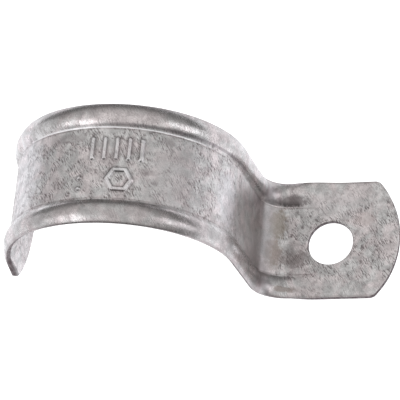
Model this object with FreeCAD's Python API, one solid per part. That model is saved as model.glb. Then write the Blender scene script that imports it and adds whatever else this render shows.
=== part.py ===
"""One-hole conduit strap, stamped and folded from one strip of galvanised sheet steel.

The origin is the axis of the conduit, which runs along Y. The wall lies below, square to Z,
and the foot with the screw hole points along +X. Lengths are in millimetres.

The strip is followed from its toe, the free end, over the arch and down the leg to the foot.
Both edges are stiffened by a bead, which is the same all the way and runs out near each end.
"""
import FreeCAD, Part

import math
import os

from FreeCAD import Vector

# Conduit and wall
pipe_radius = 16.7       # outside of a 1 in. rigid conduit, which the arch seats on
foot_drop = 15.0         # conduit axis down to the underside of the foot

# Strip
sheet = 0.85             # thickness of the sheet
width = 19.2             # of the flat strip
edge_break = 0.12        # sheared edges, softened by the shears and the zinc

# Toe, the free end that hugs the far side of the conduit
toe_angle = 170.0        # where the arch ends, in degrees round from +X
toe_straight = 4.9       # straight run past the arch, measured along the edges
toe_crown = 5.2          # how far the rounded end stands out past its corners

# Foot, the end that is screwed down
bend_radius = 4.15       # hollow side of the bend from the leg to the foot
hole_radius = 3.57       # 9/32 in. screw hole
hole_run = 6.5           # end of the bend to the centre of the hole
hole_aside = -0.4        # the hole is punched a little off the centre line
hole_break = 0.15        # upper rim of the hole, drawn in by the punch
end_run = 7.15           # centre of the hole to the corners of the rounded end
foot_crown = 3.7         # how far the rounded end stands out past its corners
corner_round = 0.6       # corners of both rounded ends, seen square to the sheet

# Stiffening beads along both edges
bead_width = 3.65        # from the edge of the strip in to the flat web
bead_crest = 2.0         # from the edge of the strip in to the crest
bead_height = 0.6        # crest above the web
lip_height = 0.3         # edge above the web, outside the crest
bead_draw = 0.25         # the edge is drawn in by this much where the bead is full
foot_fade_start = 1.7    # the bead stays full this far past the bend
foot_fade = 5.1          # length over which it runs out on the foot
toe_fade_start = 0.8     # flat sheet between the corners of the toe and the bead
toe_fade = 5.4           # length over which it runs out on the toe

STATIONS = 9             # sections in each run-out

half_width = width / 2
arch_radius = pipe_radius + sheet / 2
fold_radius = bend_radius + sheet / 2
foot_level = sheet / 2 - foot_drop
bend_level = foot_level + fold_radius
bend_end = arch_radius + fold_radius
hole_x = bend_end + hole_run


def place(x, z, lean):
    """Where a section stands: middle of the sheet at x, z, outer face towards `lean` degrees."""
    outward = Vector(math.cos(math.radians(lean)), 0, math.sin(math.radians(lean)))
    across = Vector(0, 1, 0)
    turn = FreeCAD.Rotation(across, outward, across.cross(outward), "XYZ")
    return FreeCAD.Placement(Vector(x, 0, z), turn)


def on_arch(lean):
    """Place on the arch, `lean` degrees round from +X."""
    turn = math.radians(lean)
    return place(arch_radius * math.cos(turn), arch_radius * math.sin(turn), lean)


def on_toe(travel):
    """Place `travel` mm up from the corners of the toe: first straight, then on the arch."""
    if travel > toe_straight:
        return on_arch(toe_angle - math.degrees((travel - toe_straight) / arch_radius))
    start = on_arch(toe_angle)
    down = start.Rotation.multVec(Vector(0, 0, -1))
    start.Base = start.Base + down * (toe_straight - travel)
    return start


def bend(side, offset, start, end, slope_start, slope_end):
    """Edge of a bend across the strip, `offset` from the sheet's middle line.

    The middle line leaves `start` at one slope and reaches `end` at the other, in radians.
    """
    turn = slope_end - slope_start
    heading = slope_start + turn / 4
    reach = (end - start).Length / (2 * math.cos(turn / 4))
    middle = start + Vector(math.cos(heading), math.sin(heading), 0) * reach
    corners = []
    for point, slope in ((start, slope_start), (middle, slope_start + turn / 2), (end, slope_end)):
        moved = point + Vector(-math.sin(slope), math.cos(slope), 0) * offset
        corners.append(Vector(side * moved.x, moved.y, 0))
    if turn == 0:
        return Part.LineSegment(corners[0], corners[2]).toShape()
    return Part.Arc(*corners).toShape()


def bead_side(side, face, bead):
    """Edges of one face of one bead, from the web out to the cut edge.

    side and face are +1 or -1, and bead is 1 for the full bead and 0 for flat sheet.
    """
    offset = face * sheet / 2
    rise = bead * bead_height
    web = Vector(half_width - bead_width, 0, 0)
    crest = Vector(half_width - bead_crest, rise, 0)
    lip = Vector(half_width - bead * bead_draw, bead * lip_height, 0)
    flank_slope = 2 * math.atan2(rise, crest.x - web.x)
    lip_slope = 2 * math.atan2(lip.y - crest.y, lip.x - crest.x)
    back = Vector(math.cos(lip_slope), math.sin(lip_slope), 0) * edge_break
    cut = lip + Vector(-math.sin(lip_slope), math.cos(lip_slope), 0) * (offset - face * edge_break)
    inner = bend(side, offset, web, (web + crest) / 2, 0, flank_slope)
    outer = bend(side, offset, (web + crest) / 2, crest, flank_slope, 0)
    brow = bend(side, offset, crest, lip - back, 0, lip_slope)
    broken = Part.LineSegment(brow.Vertexes[-1].Point, Vector(side * cut.x, cut.y, 0)).toShape()
    return [inner, outer, brow, broken]


def section(where, bead=1.0):
    """Closed outline of the strip across its length, with beads of the given share."""
    left_up = bead_side(-1, 1, bead)
    right_up = bead_side(1, 1, bead)
    right_down = bead_side(1, -1, bead)
    left_down = bead_side(-1, -1, bead)

    def joined(first, last, spot):
        return Part.LineSegment(first[spot].Vertexes[spot].Point,
                                last[spot].Vertexes[spot].Point).toShape()

    web, cut = 0, -1
    edges = left_up[::-1] + [joined(left_up, right_up, web)]
    edges += right_up + [joined(right_up, right_down, cut)]
    edges += right_down[::-1] + [joined(right_down, left_down, web)]
    edges += left_down + [joined(left_down, left_up, cut)]
    outline = Part.Wire(edges)
    outline.Placement = where
    return outline


def run_out(places, rising):
    """Loft in which the beads grow out of the flat sheet, or sink back into it."""
    outlines = []
    last = len(places) - 1
    for number, where in enumerate(places):
        share = number / last if rising else 1 - number / last
        outlines.append(section(where, share * share * (3 - 2 * share)))
    return Part.makeLoft(outlines, True)


def rounded_end(length, crown):
    """Flat end of the strip: straight sides along +Z, then a crowned end with rounded corners."""
    near_a = Vector(-half_width, -sheet / 2, 0)
    near_b = Vector(half_width, -sheet / 2, 0)
    far_a = near_a + Vector(0, 0, length)
    far_b = near_b + Vector(0, 0, length)
    tip = Vector(0, -sheet / 2, length + crown)
    edges = [
        Part.LineSegment(near_a, near_b).toShape(),
        Part.LineSegment(near_b, far_b).toShape(),
        Part.Arc(far_b, tip, far_a).toShape(),
        Part.LineSegment(far_a, near_a).toShape(),
    ]
    plate = Part.Face(Part.Wire(edges)).extrude(Vector(0, sheet, 0))
    tiny = sheet / 1000
    corners = [e for e in plate.Edges
               if e.BoundBox.ZLength < tiny < e.BoundBox.YLength and e.BoundBox.ZMin > length - tiny]
    plate = plate.makeFillet(corner_round, corners)
    rims = [e for e in plate.Edges if e.BoundBox.YLength < tiny < e.BoundBox.ZMax]
    return plate.makeChamfer(edge_break, rims)


def toe():
    """Free end: rounded tip, then the beads growing out of it up to the full section."""
    tip = rounded_end(toe_fade_start, toe_crown)
    facing = on_toe(toe_fade_start)
    facing.Rotation = facing.Rotation.multiply(FreeCAD.Rotation(Vector(0, 1, 0), 180))
    tip.Placement = facing
    steps = [toe_fade_start + toe_fade * n / (STATIONS - 1) for n in range(STATIONS)]
    return [tip, run_out([on_toe(step) for step in steps], rising=True)]


def arch_leg_and_bend():
    """Full section round the conduit, straight down the leg and round to the foot."""
    full = toe_fade_start + toe_fade
    start = on_toe(full)
    pieces = []
    if full < toe_straight:
        run = start.Rotation.multVec(Vector(0, 0, toe_straight - full))
        pieces.append(Part.Face(section(start)).extrude(run))
        start = on_arch(toe_angle)
    sweep = math.degrees(math.atan2(start.Base.z, start.Base.x)) % 360
    arch = Part.Face(section(start)).revolve(Vector(0, 0, 0), Vector(0, 1, 0), sweep)
    leg = Part.Face(section(on_arch(0))).extrude(Vector(0, 0, bend_level))
    fold_start = Part.Face(section(place(arch_radius, bend_level, 0)))
    fold = fold_start.revolve(Vector(bend_end, 0, bend_level), Vector(0, -1, 0), 90)
    return pieces + [arch, leg, fold]


def foot():
    """Beads running out past the bend, then the flat, rounded end."""
    lead = Part.Face(section(place(bend_end, foot_level, 90)))
    lead = lead.extrude(Vector(foot_fade_start, 0, 0))
    start = bend_end + foot_fade_start
    steps = [start + foot_fade * n / (STATIONS - 1) for n in range(STATIONS)]
    fade = run_out([place(x, foot_level, 90) for x in steps], rising=False)
    flat_start = start + foot_fade
    plate = rounded_end(hole_x + end_run - flat_start, foot_crown)
    plate.Placement = place(flat_start, foot_level, 90)
    return [lead, fade, plate]


def punch():
    """Tool that leaves the screw hole, with its drawn-in upper rim."""
    top = foot_level + sheet / 2
    bottom = foot_level - sheet / 2
    shank = Part.makeCylinder(hole_radius, 2 * sheet, Vector(0, 0, bottom - sheet / 2))
    flare = Part.makeCone(hole_radius, hole_radius + 2 * hole_break, 2 * hole_break,
                          Vector(0, 0, top - hole_break))
    tool = shank.fuse(flare)
    tool.translate(Vector(hole_x, hole_aside, 0))
    return tool


def strap():
    """The whole strap as one solid."""
    pieces = toe() + arch_leg_and_bend() + foot()
    body = pieces[0].fuse(pieces[1:])
    return body.cut(punch()).removeSplitter()


os.makedirs("parts", exist_ok=True)
strap().exportStep("parts/strap.step")
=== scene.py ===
"""Looks of the conduit strap: a stamped strip of galvanised steel, folded over its conduit.

The strip is made flat, as in the press, and is then rolled to its fold. Lengths are in
millimetres unless a name says otherwise. "Along" is the distance along the flat strip from the
corners of the toe, "across" the distance from its centre line, and the far bead is where across
is above zero.
"""

import math

import bmesh
import bpy
from mathutils import Matrix, Vector


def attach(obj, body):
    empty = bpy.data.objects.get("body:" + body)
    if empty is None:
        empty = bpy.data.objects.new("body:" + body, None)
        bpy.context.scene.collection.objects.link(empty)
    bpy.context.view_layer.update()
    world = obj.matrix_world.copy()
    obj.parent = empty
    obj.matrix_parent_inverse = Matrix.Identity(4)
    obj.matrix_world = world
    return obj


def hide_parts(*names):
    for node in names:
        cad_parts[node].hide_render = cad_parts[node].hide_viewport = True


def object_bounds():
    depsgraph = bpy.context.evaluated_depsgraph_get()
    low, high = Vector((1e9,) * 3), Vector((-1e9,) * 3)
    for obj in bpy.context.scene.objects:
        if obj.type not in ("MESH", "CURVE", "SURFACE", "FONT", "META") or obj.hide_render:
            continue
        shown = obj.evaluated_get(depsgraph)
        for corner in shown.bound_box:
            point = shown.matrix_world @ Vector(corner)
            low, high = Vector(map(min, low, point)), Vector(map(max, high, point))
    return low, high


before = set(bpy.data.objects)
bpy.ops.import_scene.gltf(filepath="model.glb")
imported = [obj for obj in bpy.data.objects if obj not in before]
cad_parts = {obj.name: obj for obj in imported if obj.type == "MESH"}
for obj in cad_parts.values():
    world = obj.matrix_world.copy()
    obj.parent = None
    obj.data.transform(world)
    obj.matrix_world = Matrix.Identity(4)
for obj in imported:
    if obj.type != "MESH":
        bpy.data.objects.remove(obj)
CAD_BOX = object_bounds()
MM = 0.001

# Sizes of the strap, as its solid has them, but for the toe's crown and the rounded corners
PIPE_RADIUS = 16.7
FOOT_DROP = 15.0
SHEET = 0.85
HALF_WIDTH = 9.6
TOE_ANGLE = 170.0
TOE_STRAIGHT = 4.9
TOE_CROWN = 5.5
BEND_RADIUS = 4.15
HOLE_RADIUS = 3.57
HOLE_RUN = 6.5
HOLE_ASIDE = -0.4
END_RUN = 7.15
FOOT_CROWN = 3.7
CORNER_ROUND = 0.45

# The middle of the sheet at the fold
ARCH = PIPE_RADIUS + SHEET / 2
FOLD = BEND_RADIUS + SHEET / 2
FOOT_LEVEL = SHEET / 2 - FOOT_DROP
BEND_LEVEL = FOOT_LEVEL + FOLD

# Places along the flat strip
ARCH_START = TOE_STRAIGHT
LEG_START = ARCH_START + ARCH * math.radians(TOE_ANGLE)
BEND_START = LEG_START - BEND_LEVEL
FOOT_START = BEND_START + FOLD * math.pi / 2
HOLE_AT = FOOT_START + HOLE_RUN
FOOT_CORNERS = HOLE_AT + END_RUN

# The flat mesh: its rows, how far from each end the crown has faded out, and the rings of faces
# around the hole
ROWS_ALONG = 310
ROWS_ACROSS = 78
TOE_FADE = 9.0
FOOT_FADE = 3.0
HOLE_MARGIN = 0.8
HOLE_COLLAR = 0.45
RIM_SEARCH = 1.6
SHEAR_ROUND = 0.13
SHARP_DEGREES = 50
CUT_FACE_NORMAL = 0.6
SMOOTH_DEGREES = 40

# Slope of the pressed bead in degrees, at distances from the centre line, and the step of the
# table of heights made from it
BEAD_SLOPES = ((5.66, 0), (6.1, 34), (6.35, 40), (6.6, 27), (6.95, 16), (7.9, 0), (9.3, -30),
               (9.6, -38))
HEIGHT_STEP = 0.02
TABLE_SPARE = 0.4

# Where the beads rise past the toe and die out by the foot: start, and length of the ramp. The
# last three count from the start of the foot.
BEAD_RISE = (0.8, 5.4)
FAR_SWELL = (-7.0, 6.0)
FAR_END = (0.7, 2.6)
NEAR_END = (-3.0, 7.5)
SWELL_SHARE = 0.2

# Raised marks on the web: height, distance from the middle line of a mark at which its flank
# starts, and width of the flank. Then the painted shade around the marks' feet, and their
# rubbed crests, lightened as a painted highlight.
MARK_HEIGHT = 0.28
MARK_REACH = 0.42
MARK_FLANK = 0.24
SHADE_RING_AT = 0.5
SHADE_RING_HALF = 0.24
CREST_REACH = 0.34
CREST_FADE = 0.22
NO_MARK = 9.0
MARK_CUTS = 2

# A row of plain ribs, a plain hexagon and two pips
RIB_PLACE = 28.9
RIB_STEP = 1.78
RIB_ENDS = (0.85, 3.85)
RIB_COUNT = 5
HEXAGON_PLACE = (33.15, -2.5)
HEXAGON_RADIUS = 1.75
PIPS = ((27.3, -2.3), (27.3, -4.0))
MARK_BOX = ((26.4, 36.9), (-4.9, 4.5))

# The small spring of the steel: the toe's end twists up, the edges are drawn in along the beads,
# the strip drifts aside towards the foot, and the far edge bulges by the bend
SPRING = 0.8
SPRING_FROM = 9.0
SPRING_LENGTH = 11.0
SPRING_LEAN = 0.2
EDGE_FROM = 5.6
EDGE_WIDTH = 4.0
DRAW_IN = 0.25
DRIFT = 0.13
DRIFT_RAMP = (20.0, 50.0)
BULGE = 0.26
BULGE_PAST = 3.0
BULGE_HALF = 3.2

# The line that the strip is rolled along
TOE_LEAD = 8.0
FOOT_LEAD = 24.0
FOOT_HANDLE = 8.0
ARCH_PIECES = 6
BEND_PIECES = 3
LINE_STEPS = 64
UV_UNIT = 10


# ---------------------------------------------------------------- the strip, made flat

def alone(obj):
    """Select this object only and make it the active one."""
    bpy.ops.object.select_all(action="DESELECT")
    obj.select_set(True)
    bpy.context.view_layer.objects.active = obj


def apply_modifier(obj, name, kind, **values):
    alone(obj)
    mod = obj.modifiers.new(name, kind)
    for key, value in values.items():
        setattr(mod, key, value)
    bpy.ops.object.modifier_apply(modifier=mod.name)


def eased(x):
    x = min(max(x, 0.0), 1.0)
    return x * x * (3 - 2 * x)


def ramp(x, start, length):
    return eased((x - start) / length)


def crowned(y, crown):
    """How far a rounded end stands out past its corners, at this distance from the centre line."""
    radius = (HALF_WIDTH ** 2 + crown ** 2) / (2 * crown)
    out = crown - radius + math.sqrt(max(radius ** 2 - y * y, 0.0))
    inset = HALF_WIDTH - abs(y)
    if inset < CORNER_ROUND:
        gone = CORNER_ROUND - inset
        out -= CORNER_ROUND - math.sqrt(max(CORNER_ROUND ** 2 - gone ** 2, 0.0))
    return out


def cut_blank():
    """Flat strip with its crowned ends, as fine rows of faces, middle of the sheet at z = 0."""
    bpy.ops.mesh.primitive_grid_add(x_subdivisions=ROWS_ALONG, y_subdivisions=ROWS_ACROSS,
                                    size=1.0, location=(0, 0, 0))
    blank = bpy.context.object
    blank.name = "strap_of_zinc_steel"
    for v in blank.data.vertices:
        x = (v.co.x + 0.5) * FOOT_CORNERS
        y = v.co.y * 2 * HALF_WIDTH
        toe = max(0.0, 1 - x / TOE_FADE)
        foot = max(0.0, 1 - (FOOT_CORNERS - x) / FOOT_FADE)
        x -= crowned(y, TOE_CROWN) * toe
        x += crowned(y, FOOT_CROWN) * foot
        v.co = (x, y, 0.0)
    return blank


def punch_hole(blank):
    """Take out a square of faces and bring its rim to the round of the screw hole."""
    mesh = bmesh.new()
    mesh.from_mesh(blank.data)
    centre = Vector((HOLE_AT, HOLE_ASIDE, 0))
    reach = HOLE_RADIUS + HOLE_MARGIN
    inside = [f for f in mesh.faces
              if abs(f.calc_center_median().x - centre.x) < reach
              and abs(f.calc_center_median().y - centre.y) < reach]
    bmesh.ops.delete(mesh, geom=inside, context="FACES")
    rim = [e for e in mesh.edges if e.is_boundary
           and all((v.co - centre).length < RIM_SEARCH * reach for v in e.verts)]
    for radius in (HOLE_RADIUS + HOLE_COLLAR, HOLE_RADIUS):
        new = bmesh.ops.extrude_edge_only(mesh, edges=rim)
        rim = [g for g in new["geom"] if isinstance(g, bmesh.types.BMEdge)]
        for v in {v for e in rim for v in e.verts}:
            way = (v.co - centre).normalized()
            v.co = centre + way * radius
    bmesh.ops.recalc_face_normals(mesh, faces=mesh.faces)
    if sum(f.normal.z for f in mesh.faces) < 0:
        bmesh.ops.reverse_faces(mesh, faces=mesh.faces)
    mesh.to_mesh(blank.data)
    mesh.free()


def slope_at(y):
    """Slope of the bead here, in radians, rising away from the centre line."""
    y = abs(y)
    for (y0, a), (y1, b) in zip(BEAD_SLOPES, BEAD_SLOPES[1:]):
        if y0 <= y < y1:
            return math.radians(a + (b - a) * (y - y0) / (y1 - y0))
    return math.radians(BEAD_SLOPES[-1][1]) if y >= HALF_WIDTH else 0.0


def bead_heights():
    """Height of the full bead at every step from the centre line."""
    heights, total = [], 0.0
    for n in range(int((HALF_WIDTH + TABLE_SPARE) / HEIGHT_STEP)):
        heights.append(total)
        total += math.tan(slope_at(n * HEIGHT_STEP)) * HEIGHT_STEP
    return heights


HEIGHTS = bead_heights()


def bead_height(y):
    place = abs(y) / HEIGHT_STEP
    n = min(int(place), len(HEIGHTS) - 2)
    part = place - n
    return HEIGHTS[n] * (1 - part) + HEIGHTS[n + 1] * part


def bead_share(x, y):
    """Height of the bead here, 1 where it is full. The far bead runs out late and bluntly."""
    toe = ramp(x, *BEAD_RISE)
    past = x - FOOT_START
    if y > 0:
        return toe * (1 + SWELL_SHARE * ramp(past, *FAR_SWELL)) * (1 - ramp(past, *FAR_END))
    return toe * (1 - ramp(past, *NEAR_END))


def marks():
    """Middle lines of the raised marks; a pip is a line of no length."""
    ribs = [((RIB_PLACE + RIB_STEP * n, RIB_ENDS[0]), (RIB_PLACE + RIB_STEP * n, RIB_ENDS[1]))
            for n in range(RIB_COUNT)]
    x, y = HEXAGON_PLACE
    turns = [math.radians(360 / 6 * n) for n in range(6)]
    corners = [(x + HEXAGON_RADIUS * math.cos(a), y + HEXAGON_RADIUS * math.sin(a))
               for a in turns]
    return ribs + list(zip(corners, corners[1:] + corners[:1])) + [(pip, pip) for pip in PIPS]


MARKS = marks()


def segment_distance(x, y, a, b):
    run = (b[0] - a[0], b[1] - a[1])
    size = run[0] ** 2 + run[1] ** 2
    share = ((x - a[0]) * run[0] + (y - a[1]) * run[1]) / size if size else 0.0
    share = min(max(share, 0.0), 1.0)
    return math.hypot(x - a[0] - share * run[0], y - a[1] - share * run[1])


def mark_distance(x, y):
    """Distance to the middle line of the nearest raised mark."""
    (x0, x1), (y0, y1) = MARK_BOX
    if not (x0 < x < x1 and y0 < y < y1):
        return NO_MARK
    return min(segment_distance(x, y, a, b) for a, b in MARKS)


def refine(blank, box, cuts):
    """Divide the faces in a box more finely."""
    (x0, x1), (y0, y1) = box
    mesh = blank.data
    for part in (mesh.vertices, mesh.edges, mesh.polygons):
        part.foreach_set("select", [False] * len(part))
    for face in mesh.polygons:
        face.select = x0 < face.center.x < x1 and y0 < face.center.y < y1
    alone(blank)
    bpy.ops.object.mode_set(mode="EDIT")
    bpy.ops.mesh.select_mode(type="FACE")
    bpy.ops.mesh.subdivide(number_cuts=cuts)
    bpy.ops.object.mode_set(mode="OBJECT")


def give_thickness(blank):
    """Sheet thickness and edges softened by the shears; cut faces take the second material."""
    blank.data.materials.append(None)
    blank.data.materials.append(None)
    apply_modifier(blank, "sheet", "SOLIDIFY", thickness=SHEET, offset=0.0)
    apply_modifier(blank, "sheared_edges", "BEVEL", width=SHEAR_ROUND, segments=3,
                   limit_method="ANGLE", angle_limit=math.radians(SHARP_DEGREES),
                   use_clamp_overlap=False)
    for face in blank.data.polygons:
        face.material_index = 1 if abs(face.normal.z) < CUT_FACE_NORMAL else 0


def keep_flat_place(blank):
    """Write the place on the flat strip to the UV map, one unit to the centimetre."""
    flat = blank.data.uv_layers.active
    for loop in blank.data.loops:
        co = blank.data.vertices[loop.vertex_index].co
        flat.data[loop.index].uv = (co.x / UV_UNIT, co.y / UV_UNIT)


def press(blank):
    """Raise the beads and the marks, draw the edges in, and leave the small spring of the steel.

    The stored values tell the finish where painted shade rings the marks, where crests are rubbed
    and lightened as a painted highlight, and which side is towards the conduit.
    """
    mark_shade = blank.data.attributes.new("mark_shade", "FLOAT", "POINT")
    crest = blank.data.attributes.new("crest", "FLOAT", "POINT")
    inside = blank.data.attributes.new("inside", "FLOAT", "POINT")
    for v in blank.data.vertices:
        x, y, level = v.co
        share = bead_share(x, y)
        lean = math.atan(math.tan(slope_at(y)) * share)
        near = mark_distance(x, y)
        # Ring of painted shade around the foot of each mark; crests rubbed and painted as a
        # highlight
        mark_shade.data[v.index].value = eased(1 - abs(near - SHADE_RING_AT) / SHADE_RING_HALF)
        crest.data[v.index].value = eased((CREST_REACH - near) / CREST_FADE)
        inside.data[v.index].value = 1.0 if level < 0 else 0.0
        height = bead_height(y) * share + MARK_HEIGHT * eased((MARK_REACH - near) / MARK_FLANK)
        twist = SPRING_LEAN - y / (2 * HALF_WIDTH)
        height += SPRING * eased((SPRING_FROM - x) / SPRING_LENGTH) * twist
        pull = ramp(abs(y), EDGE_FROM, EDGE_WIDTH)
        bulge = math.exp(-((x - FOOT_START - BULGE_PAST) / BULGE_HALF) ** 2) * (y > 0)
        aside = DRIFT * ramp(x, *DRIFT_RAMP) + BULGE * bulge
        side = 1.0 if y > 0 else -1.0
        aside -= side * DRAW_IN * min(share, 1.0)
        v.co.y = y + aside * pull - side * level * math.sin(lean)
        v.co.z = height + level * math.cos(lean)


# ---------------------------------------------------------------- the fold

def fold_points():
    """The fold, seen from the side: toe, arch, leg, bend and foot.

    Each point is its place, its heading, and the lengths of its handles before and after. The
    second value is the length of the straight lead before the arch.
    """
    points = []

    def arc(centre, radius, first, last, pieces, turning):
        reach = 4 / 3 * math.tan(abs(last - first) / pieces / 4) * radius
        for n in range(pieces + 1):
            a = first + (last - first) * n / pieces
            spot = centre + Vector((math.cos(a), math.sin(a))) * radius
            heading = Vector((-math.sin(a), math.cos(a))) * turning
            points.append([spot, heading, reach, reach])

    toe = math.radians(TOE_ANGLE)
    down = Vector((-math.sin(toe), math.cos(toe)))
    start = Vector((math.cos(toe), math.sin(toe))) * ARCH
    lead = TOE_STRAIGHT + TOE_LEAD
    points.append([start + down * lead, -down, lead / 3, lead / 3])
    arc(Vector((0, 0)), ARCH, toe, 0.0, ARCH_PIECES, -1)
    points[1][2] = lead / 3
    leg = -BEND_LEVEL
    points[-1][3] = leg / 3
    bend = len(points)
    arc(Vector((ARCH + FOLD, BEND_LEVEL)), FOLD, math.pi, math.pi * 1.5, BEND_PIECES, 1)
    points[bend][2] = leg / 3
    points[-1][3] = FOOT_HANDLE
    end = Vector((ARCH + FOLD + FOOT_LEAD, FOOT_LEVEL))
    points.append([end, Vector((1, 0)), FOOT_HANDLE, FOOT_HANDLE])
    return points, lead


def draw_line(points):
    data = bpy.data.curves.new("fold_line", "CURVE")
    data.dimensions = "2D"
    data.resolution_u = LINE_STEPS
    spline = data.splines.new("BEZIER")
    spline.resolution_u = LINE_STEPS
    spline.bezier_points.add(len(points) - 1)
    for bezier, (spot, heading, before, after) in zip(spline.bezier_points, points):
        bezier.handle_left_type = bezier.handle_right_type = "FREE"
        bezier.co = (*(spot * MM), 0)
        bezier.handle_left = (*((spot - heading * before) * MM), 0)
        bezier.handle_right = (*((spot + heading * after) * MM), 0)
    line = bpy.data.objects.new("fold_line", data)
    bpy.context.scene.collection.objects.link(line)
    return line


def turn_about_x(obj, angle):
    alone(obj)
    obj.rotation_euler = (angle, 0, 0)
    bpy.ops.object.transform_apply(location=False, rotation=True, scale=False)


def fold(blank):
    """Roll the flat strip to its fold, along the line. The strip is in metres by now."""
    points, lead = fold_points()
    line = draw_line(points)
    offset = (lead - TOE_STRAIGHT) * MM
    for v in blank.data.vertices:
        v.co.x += offset
    turn_about_x(blank, -math.pi / 2)
    apply_modifier(blank, "roll", "CURVE", object=line, deform_axis="POS_X")
    turn_about_x(blank, math.pi / 2)
    bpy.data.objects.remove(line)


def strip():
    blank = cut_blank()
    punch_hole(blank)
    refine(blank, MARK_BOX, MARK_CUTS)
    give_thickness(blank)
    keep_flat_place(blank)
    press(blank)
    blank.data.transform(Matrix.Scale(MM, 4))
    fold(blank)
    alone(blank)
    bpy.ops.object.shade_smooth_by_angle(angle=math.radians(SMOOTH_DEGREES))
    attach(blank, "root")
    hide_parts("strap")
    return blank


# ---------------------------------------------------------------- camera and light

# Azimuth, elevation and roll in degrees
CAMERA_TURN = (37.6, 60.35, -36.07)
CAMERA_TARGET = Vector((11.31, 1.27, 0.12))
CAMERA_DISTANCE = 338.5
CAMERA_LENS = 201.3

# The room is pale above and greyer low down, and dark to the near side of the foot. The spans are
# those of a unit direction's height, and of its closeness to the dark side.
LOW_LEVEL = 0.26
HIGH_LEVEL = 1.3
HEIGHT_SPAN = (0.15, 0.85)
DARK_SIDE = (-0.17, -0.98, 0.09)
DARK_LEVEL = 0.1
DARK_SPAN = (0.6, 0.9)

# Lamps: name, direction, width and height in metres, and power in watts
LAMPS = (
    ("left_box", (-0.98, -0.09, 0.22), 0.75, 0.35, 0.7),
    ("left_key", (-0.52, -0.34, 0.79), 0.4, 0.3, 0.56),
    ("right_box", (0.93, 0.02, 0.37), 0.26, 0.36, 0.62),
)
LAMP_DISTANCE = 0.6
LAMP_COLOUR = (0.97, 0.97, 1.0)

# The floor glows white to the camera, and a little cooler where the metal shows it
FLOOR_SIZE = 2.4
FLOOR_GAP = 0.00008
FLOOR_COLOUR = (0.6, 0.6, 0.6, 1)
FLOOR_ROUGH = 0.9
FLOOR_GLOW = 0.95
WHITE = (1.0, 1.0, 1.0)
COOL_WHITE = (0.94, 0.95, 1.0)


def camera():
    """Long lens, well above the near side of the foot, rolled so that the foot lies level."""
    azimuth, elevation, roll = (math.radians(a) for a in CAMERA_TURN)
    back = Vector((math.sin(azimuth) * math.cos(elevation),
                   -math.cos(azimuth) * math.cos(elevation), math.sin(elevation)))
    level_right = Vector((math.cos(azimuth), math.sin(azimuth), 0.0))
    level_up = back.cross(level_right)
    right = level_right * math.cos(roll) + level_up * math.sin(roll)
    up = back.cross(right)
    data = bpy.data.cameras.new("camera")
    data.lens = CAMERA_LENS
    data.clip_start = 0.01
    data.clip_end = 10.0
    cam = bpy.data.objects.new("camera", data)
    turn = Matrix((right, up, back)).transposed().to_4x4()
    cam.matrix_world = Matrix.Translation((CAMERA_TARGET + back * CAMERA_DISTANCE) * MM) @ turn
    bpy.context.scene.collection.objects.link(cam)
    bpy.context.scene.camera = cam


def lamp(name, direction, width, height, power):
    data = bpy.data.lights.new(name, "AREA")
    data.shape = "RECTANGLE"
    data.size = width
    data.size_y = height
    data.energy = power
    data.color = LAMP_COLOUR
    obj = bpy.data.objects.new(name, data)
    way = Vector(direction).normalized()
    obj.location = way * LAMP_DISTANCE
    obj.rotation_mode = "QUATERNION"
    obj.rotation_quaternion = way.to_track_quat("Z", "Y")
    bpy.context.scene.collection.objects.link(obj)


def room():
    """World that lights by height and side, and is white to the camera."""
    world = bpy.data.worlds.new("studio")
    bpy.context.scene.world = world
    world.use_nodes = True
    tree = world.node_tree
    tree.nodes.clear()
    out = tree.nodes.new("ShaderNodeOutputWorld")
    back = tree.nodes.new("ShaderNodeBackground")
    path = tree.nodes.new("ShaderNodeLightPath")
    way = tree.nodes.new("ShaderNodeTexCoord").outputs["Generated"]
    parts = tree.nodes.new("ShaderNodeSeparateXYZ")
    tree.links.new(way, parts.inputs[0])
    height = ease_between(tree, parts.outputs["Z"], *HEIGHT_SPAN, LOW_LEVEL, HIGH_LEVEL)
    facing = vectors(tree, "DOT_PRODUCT", way, DARK_SIDE)["Value"]
    side = ease_between(tree, facing, *DARK_SPAN, 1.0, DARK_LEVEL)
    level = tree.nodes.new("ShaderNodeMix")
    level.data_type = "FLOAT"
    tree.links.new(maths(tree, "MULTIPLY", height, side), level.inputs["A"])
    level.inputs["B"].default_value = 1.0
    tree.links.new(path.outputs["Is Camera Ray"], level.inputs["Factor"])
    tree.links.new(level.outputs["Result"], back.inputs["Strength"])
    tree.links.new(back.outputs[0], out.inputs["Surface"])


def floor_plane():
    place = (0, 0, CAD_BOX[0].z - FLOOR_GAP)
    bpy.ops.mesh.primitive_plane_add(size=FLOOR_SIZE, location=place)
    floor = bpy.context.object
    floor.name = "floor"
    mat, tree, bsdf = new_material("pale_floor")
    bsdf.inputs["Base Color"].default_value = FLOOR_COLOUR
    bsdf.inputs["Roughness"].default_value = FLOOR_ROUGH
    bsdf.inputs["Specular IOR Level"].default_value = 0.0
    path = tree.nodes.new("ShaderNodeLightPath").outputs
    tree.links.new(mixed(tree, path["Is Glossy Ray"], WHITE, COOL_WHITE),
                   bsdf.inputs["Emission Color"])
    seen = maths(tree, "MAXIMUM", path["Is Camera Ray"], path["Is Glossy Ray"])
    tree.links.new(maths(tree, "MULTIPLY", seen, FLOOR_GLOW), bsdf.inputs["Emission Strength"])
    floor.data.materials.append(mat)


def studio():
    room()
    for values in LAMPS:
        lamp(*values)
    floor_plane()


# ---------------------------------------------------------------- nodes

def new_material(name):
    mat = bpy.data.materials.new(name)
    mat.use_nodes = True
    return mat, mat.node_tree, mat.node_tree.nodes["Principled BSDF"]


def new_group(name, inputs, outputs):
    tree = bpy.data.node_groups.new(name, "ShaderNodeTree")
    for title, kind in inputs:
        tree.interface.new_socket(title, in_out="INPUT", socket_type=kind)
    for title, kind in outputs:
        tree.interface.new_socket(title, in_out="OUTPUT", socket_type=kind)
    return tree, tree.nodes.new("NodeGroupInput"), tree.nodes.new("NodeGroupOutput")


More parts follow.
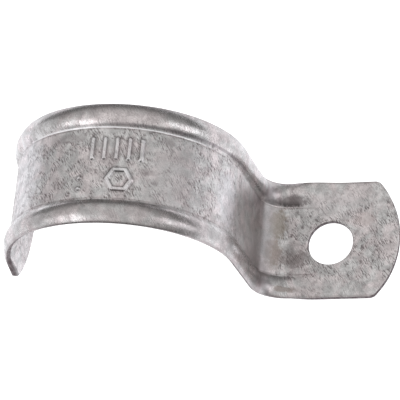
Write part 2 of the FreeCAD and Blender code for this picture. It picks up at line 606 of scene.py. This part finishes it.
def use_group(tree, group, vector):
    node = tree.nodes.new("ShaderNodeGroup")
    node.node_tree = group
    tree.links.new(vector, node.inputs["Vector"])
    return node.outputs


def put(tree, socket, value):
    """Give a socket a number or a tuple, or link another socket to it."""
    if isinstance(value, (int, float, tuple)):
        socket.default_value = value
    else:
        tree.links.new(value, socket)


def maths(tree, kind, *values):
    """Maths node; each value is a socket or a number."""
    node = tree.nodes.new("ShaderNodeMath")
    node.operation = kind
    for socket, value in zip(node.inputs, values):
        put(tree, socket, value)
    return node.outputs[0]


def vectors(tree, kind, *values):
    """Vector maths node; each value is a socket or a tuple."""
    node = tree.nodes.new("ShaderNodeVectorMath")
    node.operation = kind
    for socket, value in zip(node.inputs, values):
        put(tree, socket, value)
    return node.outputs


def ease_between(tree, value, low, high, to_low=0.0, to_high=1.0):
    """Smooth step from one level at low to another at high; low may be the greater."""
    node = tree.nodes.new("ShaderNodeMapRange")
    node.interpolation_type = "SMOOTHSTEP"
    tree.links.new(value, node.inputs["Value"])
    for name, number in (("From Min", low), ("From Max", high),
                         ("To Min", to_low), ("To Max", to_high)):
        node.inputs[name].default_value = number
    return node.outputs["Result"]


def band(tree, value, rise, full, last, gone):
    """Mask that rises to 1, stays there and falls back to 0."""
    return maths(tree, "MULTIPLY", ease_between(tree, value, rise, full),
                 ease_between(tree, value, gone, last))


def mixed(tree, factor, a, b, blend="MIX"):
    """Mix of two colours; each is a socket or a tuple of three."""
    node = tree.nodes.new("ShaderNodeMix")
    node.data_type = "RGBA"
    node.blend_type = blend
    for name, value in (("Factor", factor), ("A", a), ("B", b)):
        socket = [s for s in node.inputs if s.name == name and s.enabled][0]
        put(tree, socket, (*value, 1) if isinstance(value, tuple) else value)
    return [s for s in node.outputs if s.enabled][0]


def coat(tree, colour, mask, depth, tint):
    """Lay a tint over a colour, to this depth where the mask is 1."""
    return mixed(tree, maths(tree, "MULTIPLY", mask, depth), colour, tint)


def shades(tree, factor, first, last):
    """Grey ramp on a factor; each end is a position and a level."""
    node = tree.nodes.new("ShaderNodeValToRGB")
    for end, (place, level) in zip(node.color_ramp.elements, (first, last)):
        end.position = place
        end.color = (level, level, level, 1)
    tree.links.new(factor, node.inputs["Fac"])
    return node.outputs["Color"]


def noise(tree, vector, scale, detail=2.0, rough=0.5, distortion=0.0):
    node = tree.nodes.new("ShaderNodeTexNoise")
    node.inputs["Scale"].default_value = scale
    node.inputs["Detail"].default_value = detail
    node.inputs["Roughness"].default_value = rough
    node.inputs["Distortion"].default_value = distortion
    tree.links.new(vector, node.inputs["Vector"])
    return node.outputs["Fac"]


def placed(tree, vector, turn=0.0, scale=(1, 1, 1), move=(0, 0, 0)):
    """Turned, scaled and moved copy of a vector."""
    node = tree.nodes.new("ShaderNodeMapping")
    node.inputs["Location"].default_value = move
    node.inputs["Rotation"].default_value = (0, 0, math.radians(turn))
    node.inputs["Scale"].default_value = scale
    tree.links.new(vector, node.inputs["Vector"])
    return node.outputs["Vector"]


def stored(tree, name):
    """Value stored on the piece's own points."""
    node = tree.nodes.new("ShaderNodeAttribute")
    node.attribute_name = name
    return node.outputs["Fac"]


def roughen(tree, bsdf, height, strength, distance):
    """Fine relief in the finish only."""
    bump = tree.nodes.new("ShaderNodeBump")
    bump.inputs["Strength"].default_value = strength
    bump.inputs["Distance"].default_value = distance
    tree.links.new(height, bump.inputs["Height"])
    tree.links.new(bump.outputs["Normal"], bsdf.inputs["Normal"])


# ---------------------------------------------------------------- finishes

ZINC_WARM = (0.464, 0.424, 0.422)
ZINC_COOL = (0.430, 0.423, 0.418)
TORN_STEEL = (0.11, 0.082, 0.087)

# Coats over the zinc, painted light and shade among them: depth and colour
SLASH_DARK = (0.85, (0.14, 0.12, 0.12))
SLASH_PALE = (0.35, (0.62, 0.60, 0.60))
# Painted shade in the bead hollows and around the marks; the crests rubbed and painted as a
# highlight
HOLLOW_SHADE = (0.5, (0.16, 0.13, 0.13))
MARK_SHADE = (0.45, (0.16, 0.14, 0.14))
CREST_WEAR_AND_SHEEN = (0.35, (0.78, 0.77, 0.78))
# Painted shade inside the lips and along the rim
LIP_SHADE = (0.85, (0.15, 0.115, 0.12))
RIM_SHADE = (0.4, (0.2, 0.17, 0.17))
CREASE_BROWN = (0.22, (0.24, 0.19, 0.19))

# Where they lie. A band has four places: it starts to rise, is full, starts to fall, is gone.
LEG_BAND = (LEG_START - 1, LEG_START + 3, FOOT_START - 3.0, FOOT_START - 1.0)
CREASE_BAND = (BEND_START + 0.9, BEND_START + 1.3, BEND_START + 1.6, BEND_START + 2.0)
HOLLOW_BAND = (5.35, 5.55, 5.6, 5.78)
HOLLOW_END = (FOOT_START + 5.5, FOOT_START + 3.0)
LIP_EDGE = (8.75, 9.0)
RIM_EDGE = (9.15, 9.4)

# Share of the slashes left on the beads, and what the forming tool took from them on the leg
BEAD_EDGE = (6.0, 7.0)
BEAD_LEFT = 0.5
LEG_TAKEN = 0.85

# Roughness: the plain zinc, and what the beads, the clouds and the slashes change. The beads'
# polish turns to its opposite in the bend.
ROUGH = 0.40
BEAD_POLISH = 0.11
POLISH_EDGE = (6.0, 6.6)
BEND_EDGE = (FOOT_START - 10, FOOT_START - 6)
BEND_TURNS = -1.2
CLOUD_ROUGH = -0.05
SLASH_ROUGH = 0.12
TORN_ROUGH = (0.42, 0.6)

# Share of metal lost under the painted shade inside the lips, and that of the torn steel
SHADE_METAL_LOSS = -0.8
TORN_METAL = 0.5
SPECULAR = 0.15

# Fine relief, as the share of each source, and its strength and depth in metres
SLASH_DEPTH = -1.0
SLASH_RISE = 0.6
GRAIN_RISE = 0.7
ZINC_RELIEF = (0.35, 0.00003)
TORN_RELIEF = (0.4, 0.00004)

SLASH_DEGREES = 58

# Lines in the far bead's hollow: the band across, the band along, depth and colour. One is a
# painted highlight along the bead's foot, the other painted shade on its steep flank.
PAINTED_BEAD_LINES = (
    ((5.68, 5.82, 6.05, 6.25), (15, 22, 42, 50), 0.65, (0.82, 0.81, 0.82)),
    ((6.25, 6.4, 6.55, 6.72), (29, 37, 55, 60), 0.55, (0.15, 0.13, 0.14)),
)

# Stains, painted shade and painted highlights on the flat strip: centre, half size, colour and
# depth. Dark stains lie past the bend, on the web and at the near bead's end; pale patches lie
# on the web, in the bend and on the foot.
STAINS_AND_PAINTED_LIGHT = (
    ((70.6, 2.8), (1.9, 3.0), (0.27, 0.235, 0.20), 0.7),
    ((70.1, -2.2), (1.9, 2.8), (0.26, 0.215, 0.19), 0.7),
    ((73.4, -2.9), (3.2, 1.7), (0.2, 0.175, 0.17), 0.65),
    # Painted reflection: a pale band across the arch, next to the leg
    ((51.6, -0.8), (3.0, 5.6), (0.74, 0.73, 0.76), 0.33),
    # Painted highlight: the toe end, lit from the left
    ((15.5, 0.5), (5.0, 8.5), (0.72, 0.71, 0.74), 0.28),
    ((25.2, 4.2), (3.4, 0.8), (0.26, 0.23, 0.23), 0.45),
    ((37.2, -0.9), (1.3, 0.6), (0.22, 0.19, 0.19), 0.5),
    ((39.6, 4.4), (1.2, 0.8), (0.24, 0.21, 0.21), 0.45),
    ((79.5, 6.0), (5.5, 2.6), (0.60, 0.58, 0.58), 0.3),
    ((72.4, -8.3), (2.6, 0.55), (0.22, 0.18, 0.16), 0.65),
    # Painted shade along the near bead and along the far bead's outer side
    ((34.0, -7.7), (24.0, 1.9), (0.27, 0.25, 0.25), 0.4),
    ((32.0, 8.7), (18.0, 1.4), (0.25, 0.23, 0.23), 0.45),
    ((39.5, -1.0), (4.5, 6.0), (0.62, 0.58, 0.58), 0.25),
    ((68.5, 0.0), (1.7, 8.5), (0.60, 0.57, 0.57), 0.3),
    ((64.6, -3.0), (2.8, 3.5), (0.60, 0.56, 0.56), 0.6),
    # Painted shade over the near bead's highlight
    ((44.5, -8.3), (4.5, 1.3), (0.34, 0.32, 0.32), 0.35),
    ((84.6, 3.4), (1.9, 1.4), (0.47, 0.40, 0.39), 0.5),
    # Painted shade: a dark crescent on the far bead's inner flank where it runs out, and both
    # beads dimmed in the bend
    ((72.9, 6.8), (3.5, 0.8), (0.16, 0.14, 0.14), 0.8),
    ((68.4, 7.4), (2.6, 1.5), (0.22, 0.19, 0.20), 0.6),
    ((68.2, -8.2), (2.6, 1.3), (0.24, 0.21, 0.22), 0.6),
)
PATCH_RAGGED = 1.6
PATCH_RIM = (1.9, 1.3)


def bloom_group():
    """Zinc bloom: broad warm and cool patches, paler clouds and fine grain."""
    tree, given, out = new_group(
        "zinc_bloom", [("Vector", "NodeSocketVector")],
        [("Color", "NodeSocketColor"), ("Cloud", "NodeSocketFloat"), ("Grain", "NodeSocketFloat")])
    v = given.outputs["Vector"]
    broad = noise(tree, v, scale=0.33, detail=3.0, rough=0.6, distortion=0.6)
    hue = ease_between(tree, broad, 0.38, 0.62)
    aside = placed(tree, v, move=(7.3, 2.1, 0))
    clouds = noise(tree, aside, scale=0.55, detail=3.0, rough=0.6, distortion=0.3)
    cloud = ease_between(tree, clouds, 0.32, 0.68)
    grain = noise(tree, v, scale=5.2, detail=2.0, rough=0.6)
    base = mixed(tree, hue, ZINC_WARM, ZINC_COOL)
    pale = mixed(tree, 1.0, base, shades(tree, cloud, (0.0, 0.9), (1.0, 1.32)), "MULTIPLY")
    fine = mixed(tree, 1.0, pale, shades(tree, grain, (0.25, 0.8), (0.75, 1.22)), "MULTIPLY")
    tree.links.new(fine, out.inputs["Color"])
    tree.links.new(cloud, out.inputs["Cloud"])
    tree.links.new(grain, out.inputs["Grain"])
    return tree


def slash_group():
    """Fine slanting marks left in the zinc by the rolls; the dark ones lie in patches."""
    tree, given, out = new_group(
        "slanting_marks", [("Vector", "NodeSocketVector")],
        [("Dark", "NodeSocketFloat"), ("Light", "NodeSocketFloat")])
    v = given.outputs["Vector"]
    wavy = noise(tree, v, scale=0.9, detail=1.0)
    shifted = vectors(tree, "MULTIPLY_ADD", wavy, (0.3, 0.3, 0), v)["Vector"]
    along = placed(tree, shifted, turn=SLASH_DEGREES)
    dark_lines = placed(tree, along, scale=(1.1, 6.2, 1))
    dark = ease_between(tree, noise(tree, dark_lines, 1.0, 2.5, 0.66), 0.48, 0.58)
    pale_lines = placed(tree, along, scale=(1.2, 5.0, 1), move=(31, 17, 0))
    pale = ease_between(tree, noise(tree, pale_lines, 1.0, 2.0, 0.6), 0.56, 0.70)
    clusters = noise(tree, v, scale=0.5, detail=3.0, rough=0.65)
    patches = ease_between(tree, clusters, 0.4, 0.56, 0.15, 1.0)
    tree.links.new(maths(tree, "MULTIPLY", dark, patches), out.inputs["Dark"])
    tree.links.new(pale, out.inputs["Light"])
    return tree


def patch_mask(tree, spot, edge, centre, size):
    """Mask of a soft oval patch with a ragged edge; edge is a noise."""
    away = placed(tree, spot, scale=(1 / size[0], 1 / size[1], 1),
                  move=(-centre[0] / size[0], -centre[1] / size[1], 0))
    length = vectors(tree, "LENGTH", away)["Value"]
    return ease_between(tree, maths(tree, "MULTIPLY_ADD", edge, PATCH_RAGGED, length), *PATCH_RIM)


def strip_place(tree):
    """Place on the flat strip: both values as a vector, then along, then across."""
    coord = tree.nodes.new("ShaderNodeTexCoord")
    spot = placed(tree, coord.outputs["UV"], scale=(UV_UNIT, UV_UNIT, UV_UNIT))
    parts = tree.nodes.new("ShaderNodeSeparateXYZ")
    tree.links.new(spot, parts.inputs[0])
    return spot, parts.outputs["X"], parts.outputs["Y"]


def galvanised(groups):
    """Zinc on the faces of the sheet."""
    mat, tree, bsdf = new_material("galvanised_steel")
    spot, along, across = strip_place(tree)
    off = maths(tree, "ABSOLUTE", across)
    bloom = use_group(tree, groups["bloom"], spot)
    slashes = use_group(tree, groups["marks"], spot)

    # The leg is rubbed smooth by the forming tool, and the beads half as much
    left = maths(tree, "MULTIPLY_ADD", band(tree, along, *LEG_BAND), -LEG_TAKEN, 1.0)
    left = maths(tree, "MULTIPLY", left, ease_between(tree, off, *BEAD_EDGE, 1.0, BEAD_LEFT))
    dark = maths(tree, "MULTIPLY", slashes["Dark"], left)
    light = maths(tree, "MULTIPLY", slashes["Light"], left)
    colour = coat(tree, bloom["Color"], dark, *SLASH_DARK)
    colour = coat(tree, colour, light, *SLASH_PALE)

    # Painted shade in the hollow beside each bead and around the raised marks; rubbed crests,
    # lightened as a painted highlight
    patchy = ease_between(tree, noise(tree, spot, scale=0.8), 0.3, 0.6, 0.35, 1.0)
    hollow = maths(tree, "MULTIPLY", band(tree, off, *HOLLOW_BAND), patchy)
    hollow = maths(tree, "MULTIPLY", hollow, ease_between(tree, along, *HOLLOW_END))
    colour = coat(tree, colour, hollow, *HOLLOW_SHADE)
    mark_shading = maths(tree, "MULTIPLY", stored(tree, "mark_shade"), patchy)
    colour = coat(tree, colour, mark_shading, *MARK_SHADE)
    colour = coat(tree, colour, stored(tree, "crest"), *CREST_WEAR_AND_SHEEN)

    # Painted highlight and painted shade along the far bead's foot and flank
    for across_band, along_band, depth, tint in PAINTED_BEAD_LINES:
        here = maths(tree, "MULTIPLY", band(tree, across, *across_band),
                     band(tree, along, *along_band))
        colour = coat(tree, colour, here, depth, tint)

    # Painted shade inside the lips, and painted shade along the rim
    lip = maths(tree, "MULTIPLY", stored(tree, "inside"), ease_between(tree, off, *LIP_EDGE))
    colour = coat(tree, colour, lip, *LIP_SHADE)
    colour = coat(tree, colour, ease_between(tree, off, *RIM_EDGE), *RIM_SHADE)

    # Stains, painted shade and painted highlights, and the line left along the start of the bend
    edge = noise(tree, spot, scale=1.1, detail=3.0, rough=0.65)
    for centre, size, tint, depth in STAINS_AND_PAINTED_LIGHT:
        colour = coat(tree, colour, patch_mask(tree, spot, edge, centre, size), depth, tint)
    colour = coat(tree, colour, band(tree, along, *CREASE_BAND), *CREASE_BROWN)
    tree.links.new(colour, bsdf.inputs["Base Color"])

    # The painted shade inside the lips isn't metal
    bsdf.inputs["Specular IOR Level"].default_value = SPECULAR
    tree.links.new(maths(tree, "MULTIPLY_ADD", lip, SHADE_METAL_LOSS, 1.0), bsdf.inputs["Metallic"])

    # The beads are polished, but not in the bend
    bend = ease_between(tree, along, *BEND_EDGE)
    polish = maths(tree, "MULTIPLY", ease_between(tree, off, *POLISH_EDGE, 0.0, BEAD_POLISH),
                   maths(tree, "MULTIPLY_ADD", bend, BEND_TURNS, 1.0))
    rough = maths(tree, "SUBTRACT", ROUGH, polish)
    rough = maths(tree, "MULTIPLY_ADD", bloom["Cloud"], CLOUD_ROUGH, rough)
    rough = maths(tree, "MULTIPLY_ADD", dark, SLASH_ROUGH, rough)
    tree.links.new(rough, bsdf.inputs["Roughness"])

    relief = maths(tree, "MULTIPLY", light, SLASH_RISE)
    relief = maths(tree, "MULTIPLY_ADD", dark, SLASH_DEPTH, relief)
    relief = maths(tree, "MULTIPLY_ADD", bloom["Grain"], GRAIN_RISE, relief)
    roughen(tree, bsdf, relief, *ZINC_RELIEF)
    return mat


def sheared(groups):
    """Cut edges and the wall of the hole: darker, torn steel with a thin skin of zinc."""
    mat, tree, bsdf = new_material("sheared_edge")
    coord = tree.nodes.new("ShaderNodeTexCoord")
    spot = placed(tree, coord.outputs["Object"], scale=(1 / MM, 1 / MM, 1 / MM))
    bloom = use_group(tree, groups["bloom"], spot)
    tear = noise(tree, placed(tree, spot, scale=(2.5, 2.5, 0.6)), scale=1.0, detail=2.0, rough=0.6)
    torn = ease_between(tree, tear, 0.4, 0.65, 0.78, 1.0)
    tree.links.new(mixed(tree, torn, bloom["Color"], TORN_STEEL), bsdf.inputs["Base Color"])
    bsdf.inputs["Metallic"].default_value = TORN_METAL
    bsdf.inputs["Specular IOR Level"].default_value = SPECULAR
    tree.links.new(ease_between(tree, tear, 0.3, 0.7, *TORN_ROUGH), bsdf.inputs["Roughness"])
    roughen(tree, bsdf, tear, *TORN_RELIEF)
    return mat


camera()
studio()
piece = strip()
groups = {"bloom": bloom_group(), "marks": slash_group()}
piece.data.materials[0] = galvanised(groups)
piece.data.materials[1] = sheared(groups)
bpy.context.scene.view_settings.view_transform = "Standard"
